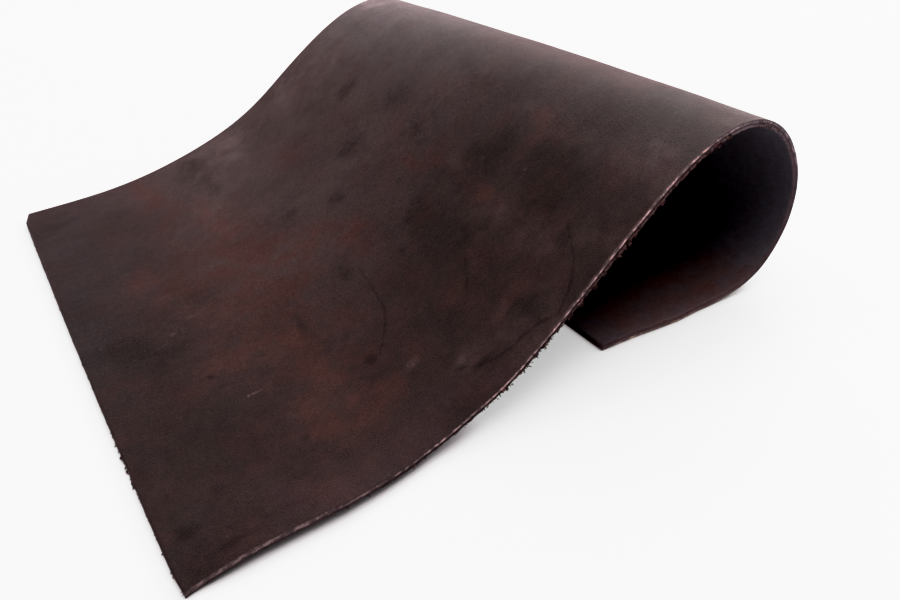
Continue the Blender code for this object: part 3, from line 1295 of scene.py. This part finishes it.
def grain_leather():
    """The grain side: dark oiled brown, clouded with warm red and blue-black."""
    material, wiring, shader = new_material(
        "oiled_grain",
        Specular_IOR_Level=0.05,
        Sheen_Weight=0.57,
        Sheen_Roughness=0.30,
        Sheen_Tint=dye(255, 206, 213),
    )
    place, _ = panel_place(wiring, PANEL_LENGTH, PANEL_WIDTH)
    grain = wiring.group(PEBBLE_GRAIN, vector=place, cells=1.9, softness=0.22)
    veins = vein_mask(wiring, place)
    scuffs = wiring.product(spot_mask(wiring, place, SCUFFS), wiring.clouds(place, SCRATCHES))
    marks = (
        (VEIN_BLACK, grain.outputs["Crease"], CREASE_STRENGTH),
        # Painted highlight: the lip of the near cut catching the light.
        (CUT_PALE, lip_highlight_mask(wiring, place), 1.0),
        (VEIN_BLACK, veins, VEIN_STRENGTH),
        (VEIN_BLACK, spot_mask(wiring, place, SPOTS), SPOT_STRENGTH),
        (SCUFF_PALE, scuffs, SCUFF_STRENGTH),
        (DUST_PALE, dust_mask(wiring, place), DUST_STRENGTH),
    )
    colour = clouded_brown(wiring, place)
    for stain, mask, strength in marks:
        colour = wiring.stained(colour, stain, mask, strength)
    wiring.feed(shader.inputs["Base Color"], colour)
    wiring.feed(shader.inputs["Roughness"], wiring.clouds(place, GLOSS))
    groove = wiring.product(veins, VEIN_GROOVE)
    height = wiring.math("SUBTRACT", grain.outputs["Height"], groove)
    wiring.bump(shader, height, strength=0.55, reach=0.00006)
    return material


# ---------------------------------------------------------------- the cut, the flesh side, the fibres

CUT_LILAC = dye(240, 210, 218)
CUT_CREAM = dye(255, 218, 192)
# Near-black core of the cut, partly painted shade.
CORE_DARK_AND_SHADE = dye(27, 18, 20)
CORE_BROWN = dye(46, 32, 33)
# The lighter core, partly painted light where the cut faces the light.
CORE_LILAC = dye(118, 98, 104)
CORE_WARM = dye(112, 82, 82)
CRUMB_BROWN = dye(136, 101, 102)
CRUMB_LILAC = dye(150, 126, 134)

# The cut's layers move up and down by up to half this share of its depth, over this size.
LAYER_WANDER = 0.30
LAYER_WANDER_SIZE = 1.4
CORE_CLOUDS = Clouds(2.4, 4.0, 0.6, 0.38, 0.66)
PALE_CORE_CLOUDS = Clouds(2.4, 4.0, 0.6, 0.30, 0.70, 0.75, 1.0)
LINE_BREAKS = Clouds(2.2, 4.0, 0.65, 0.43, 0.61, 0.14, 1.0)
# The pale line is full up to this share of its reach.
LINE_FULL = 0.35
# The crumbled fibres lie from here down, and are full from there down, in lumps.
RIDGE_LEVEL = (0.58, 0.74)
RIDGE_LUMPS = Clouds(0.9, 4.0, 0.7, 0.36, 0.66, 0.15, 1.0)
# As the core gets lighter, the pale layers turn lilac, and then the line turns cream.
LILAC_CORE = (0.22, 0.40)
CREAM_CORE = (0.55, 0.85)
CUT_NAP_STRENGTH = 0.12


def pale_line_mask(wiring, place, level):
    """The broken pale line under the grain: partly pale fibre, partly a painted highlight where the
    corner catches the light.
    """
    away = wiring.math("ABSOLUTE", wiring.math("SUBTRACT", level, wiring.attribute("pale_place")))
    share = wiring.math("DIVIDE", away, wiring.attribute("pale_reach"))
    line = wiring.product(wiring.ramp(share, LINE_FULL, 1.0, 1.0, 0.0), wiring.clouds(place, LINE_BREAKS))
    return wiring.product(line, wiring.attribute("pale_line"))


def cut_leather():
    """The cut edge: a dark core, partly painted shade, a thin pale line under the grain, partly a painted
    highlight, and crumbled fibres below.
    """
    material, wiring, shader = new_material("cut_edge", Roughness=0.85, Specular_IOR_Level=0.12)
    place, cut_map = panel_place(wiring, PANEL_OUTLINE, THICKNESS)
    depth = wiring.add("ShaderNodeSeparateXYZ", {"Vector": cut_map}).outputs["Y"]
    wobble = wiring.noise(place, LAYER_WANDER_SIZE, detail=4.0, roughness=0.65)
    moved = wiring.product(wiring.math("SUBTRACT", wobble.outputs["Fac"], 0.5), LAYER_WANDER)
    level = wiring.math("ADD", depth, moved)
    core_lit_tone = wiring.attribute("core_lit_tone")
    lilac = wiring.ramp(core_lit_tone, *LILAC_CORE)
    cream = wiring.ramp(core_lit_tone, *CREAM_CORE)

    # Painted shade, in part: the core goes near black where the cut is undercut and close to the table,
    # and lighter where it faces the light.
    core = wiring.mix(wiring.clouds(place, CORE_CLOUDS), CORE_DARK_AND_SHADE, CORE_BROWN)
    pale_core = wiring.mix(wiring.attribute("flesh_tone"), CORE_LILAC, CORE_WARM)
    core = wiring.stained(core, pale_core, wiring.clouds(place, PALE_CORE_CLOUDS), core_lit_tone)
    ridge = wiring.product(wiring.ramp(level, *RIDGE_LEVEL), wiring.clouds(place, RIDGE_LUMPS))
    crumbs = wiring.mix(lilac, CRUMB_BROWN, CRUMB_LILAC)
    colour = wiring.stained(core, crumbs, ridge, wiring.attribute("crumbled"))
    line_colour = wiring.mix(cream, wiring.mix(lilac, CUT_PALE, CUT_LILAC), CUT_CREAM)
    # Painted highlight, in part: the pale line under the grain.
    colour = wiring.mix(pale_line_mask(wiring, place, level), colour, line_colour)
    nap = wiring.group(FIBRE_NAP, vector=place, size=0.35)
    colour = wiring.stained(colour, CRUMB_BROWN, nap.outputs["Mask"], CUT_NAP_STRENGTH)
    wiring.feed(shader.inputs["Base Color"], colour)
    wiring.bump(shader, nap.outputs["Height"], strength=0.9, reach=0.00015)
    return material


FLESH_GREY = dye(69, 68, 76)
FLESH_WARM = dye(80, 53, 48)
FLESH_NAP = dye(103, 84, 85)
FLESH_CLOUDS = 8.0
FLESH_BREAK_UP = 0.4
FLESH_MOTTLE = Clouds(3.2, 5.0, 0.65, 0.36, 0.66)
FLESH_MOTTLE_STRENGTH = 0.30
FLESH_NAP_STRENGTH = 0.38
# The rubbed leather along the cuts is lighter by this share.
FLESH_RUBBED_LIGHTER = 0.55


def flesh_leather():
    """The flesh side: matt suede nap in dark burgundy brown."""
    material, wiring, shader = new_material(
        "suede_flesh",
        Roughness=0.95,
        Specular_IOR_Level=0.08,
        Sheen_Weight=0.05,
        Sheen_Roughness=0.5,
        Sheen_Tint=dye(190, 180, 200),
    )
    place, _ = panel_place(wiring, PANEL_LENGTH, PANEL_WIDTH)
    nap = wiring.group(FIBRE_NAP, vector=place, size=0.32)
    warm = cloudy_tone(wiring, place, "flesh_tone", FLESH_CLOUDS, FLESH_BREAK_UP)
    colour = wiring.mix(warm, FLESH_GREY, FLESH_WARM)
    mottle = wiring.clouds(place, FLESH_MOTTLE)
    colour = wiring.stained(colour, CORE_BROWN, mottle, FLESH_MOTTLE_STRENGTH)
    colour = wiring.stained(colour, FLESH_NAP, nap.outputs["Mask"], FLESH_NAP_STRENGTH)
    lighter = wiring.product(wiring.attribute("rubbed"), FLESH_RUBBED_LIGHTER)
    colour = wiring.shaded(colour, wiring.math("ADD", lighter, 1.0))
    wiring.feed(shader.inputs["Base Color"], colour)
    wiring.bump(shader, nap.outputs["Height"], strength=0.8, reach=0.00025)
    return material


FIBRE_BROWN = dye(46, 31, 31)
FIBRE_PALE = dye(132, 96, 95)
# These clouds are read in metres, as the fibres have no flat panel to lie on.
FIBRE_CLOUDS = Clouds(1.0 / 900.0, 3.0, 0.5, 0.40, 0.68)


def fibre_leather():
    """The torn fibres, some paler than others."""
    material, wiring, shader = new_material("torn_fibre", Roughness=0.9, Specular_IOR_Level=0.15)
    place = wiring.add("ShaderNodeTexCoord").outputs["Object"]
    colour = wiring.mix(wiring.clouds(place, FIBRE_CLOUDS), FIBRE_BROWN, FIBRE_PALE)
    wiring.feed(shader.inputs["Base Color"], colour)
    return material


# ---------------------------------------------------------------- camera, floor and light

IMAGE_WIDTH = 900
CAMERA_PLACE = (-4.7, -123.0, 131.5)
CAMERA_YAW = 29.3
CAMERA_PITCH = 31.7
CAMERA_ROLL = -4.0
FOCAL_PIXELS = 834.0
SENSOR_WIDTH = 36.0

FLOOR_SIZE = 9.0
FLOOR_DROP = 0.0001
# The floor glows for the camera only: painted light that keeps the shadows on it pale.
FLOOR_COLOUR = (0.60, 0.60, 0.605, 1.0)
FLOOR_PAINTED_GLOW = (0.37, 0.37, 0.37, 1.0)
# Close under the leather the glow fades, a painted contact shadow, and turns warm, a painted bounce from
# the leather.
CONTACT_SHADOW_REACH = 0.008
CONTACT_SHADOW_OPENNESS = (0.15, 0.82)
CONTACT_SHADOW_GLOW = (0.37, 0.275, 0.285, 1.0)


def pale_floor():
    slab = bmesh.new()
    bmesh.ops.create_grid(slab, x_segments=2, y_segments=2, size=FLOOR_SIZE / 2.0)
    bmesh.ops.translate(slab, verts=slab.verts[:], vec=(0.0, 0.0, -FLOOR_DROP))
    floor = finished_piece("floor", slab)
    material, wiring, shader = new_material(
        "pale_floor", Base_Color=FLOOR_COLOUR, Roughness=0.9, Specular_IOR_Level=0.2
    )
    # Painted light: a glow seen only by the camera, dimmed and warmed close under the leather as a
    # painted contact shadow and bounce.
    seen = wiring.add("ShaderNodeLightPath").outputs["Is Camera Ray"]
    open_round = wiring.add("ShaderNodeAmbientOcclusion", {"Distance": CONTACT_SHADOW_REACH}, samples=8)
    glow = wiring.ramp(open_round.outputs["AO"], *CONTACT_SHADOW_OPENNESS)
    wiring.feed(shader.inputs["Emission Color"], wiring.mix(glow, CONTACT_SHADOW_GLOW, FLOOR_PAINTED_GLOW))
    wiring.feed(shader.inputs["Emission Strength"], wiring.product(seen, glow))
    floor.data.materials.append(material)
    floor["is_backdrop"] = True


# Place, point aimed at, width and height in metres, watts.
SOFT_LIGHTS = (
    ("overhead_softbox", (0.0, 0.0, 4.8), (0.0, 0.0, 0.0), 6.0, 6.0, 330.0),
    ("right_softbox", (4.8, 0.9, 1.8), (0.0, 0.0, 0.6), 4.2, 3.3, 240.0),
    ("back_softbox", (3.3, 3.3, 3.0), (0.0, 0.0, 0.0), 3.0, 3.0, 125.0),
)
ROOM_COLOUR = (0.97, 0.98, 1.0, 1.0)
ROOM_FILL = 0.03
ROOM_SEEN = 1.2


def soft_light(name, place, target, width, height, watts):
    lamp = bpy.data.lights.new(name, "AREA")
    lamp.shape = "RECTANGLE"
    lamp.size = width
    lamp.size_y = height
    lamp.energy = watts
    light = placed(name, lamp)
    light.location = place
    light.rotation_mode = "QUATERNION"
    light.rotation_quaternion = (Vector(target) - Vector(place)).to_track_quat("-Z", "Y")
    light.visible_camera = False


def room_light():
    """A pale room that looks bright behind the floor and adds a little fill."""
    world = bpy.data.worlds.new("pale_room")
    world.use_nodes = True
    wiring = Wiring(world.node_tree)
    background = world.node_tree.nodes["Background"]
    background.inputs["Color"].default_value = ROOM_COLOUR
    seen = wiring.add("ShaderNodeLightPath").outputs["Is Camera Ray"]
    strength = wiring.product(seen, ROOM_SEEN - ROOM_FILL)
    wiring.feed(background.inputs["Strength"], wiring.math("ADD", strength, ROOM_FILL))
    bpy.context.scene.world = world


# Light that reaches the film, and how bright it prints: straight for the leather, with a
# soft shoulder for the floor. Less light than this prints black.
PRINT_BLACK = 0.005
PRINT_CURVE = (
    (0.00, 0.00),
    (0.01, 0.0085),
    (0.05, 0.05),
    (0.20, 0.21),
    (0.40, 0.50),
    (0.65, 0.79),
    (0.90, 0.885),
    (1.15, 0.938),
    (1.50, 0.965),
    (2.00, 0.99),
)


def print_curve():
    view = bpy.context.scene.view_settings
    view.view_transform = "Standard"
    view.use_curve_mapping = True
    mapping = view.curve_mapping
    mapping.clip_max_x = PRINT_CURVE[-1][0]
    mapping.black_level = (PRINT_BLACK, PRINT_BLACK, PRINT_BLACK)
    points = mapping.curves[3].points
    while len(points) < len(PRINT_CURVE):
        points.new(0.5, 0.5)
    for point, place in zip(points, PRINT_CURVE):
        point.location = place
    mapping.update()


def camera_at_the_near_corner():
    yaw, pitch, roll = (math.radians(a) for a in (CAMERA_YAW, CAMERA_PITCH, CAMERA_ROLL))
    look = Vector((math.sin(yaw) * math.cos(pitch), math.cos(yaw) * math.cos(pitch), -math.sin(pitch)))
    level_right = Vector((math.cos(yaw), -math.sin(yaw), 0.0))
    level_up = level_right.cross(look)
    right = math.cos(roll) * level_right + math.sin(roll) * level_up
    up = -math.sin(roll) * level_right + math.cos(roll) * level_up
    data = bpy.data.cameras.new("camera")
    data.sensor_width = SENSOR_WIDTH
    data.lens = FOCAL_PIXELS / IMAGE_WIDTH * SENSOR_WIDTH
    data.clip_start = 0.01
    data.clip_end = 30.0
    camera = placed("camera", data)
    place = Vector(CAMERA_PLACE) - Vector((CENTRE_ALONG, CENTRE_ACROSS, 0.0))
    columns = Matrix((right, up, -look)).transposed().to_4x4()
    camera.matrix_world = Matrix.Translation(place * MM) @ columns
    bpy.context.scene.camera = camera


# ---------------------------------------------------------------- the whole scene

sheet = leather_sheet()
for leather in (grain_leather(), flesh_leather(), cut_leather()):
    sheet.data.materials.append(leather)
fibres = edge_fibres()
fibres.data.materials.append(fibre_leather())

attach(sheet, "root")
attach(fibres, "root")
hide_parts("leather_panel")

pale_floor()
room_light()
for softbox in SOFT_LIGHTS:
    soft_light(*softbox)
camera_at_the_near_corner()
print_curve()

boxes = {"cad_box": CAD_BOX, "visual_box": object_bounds()}
{name: [list(corner) for corner in box] for name, box in boxes.items()}
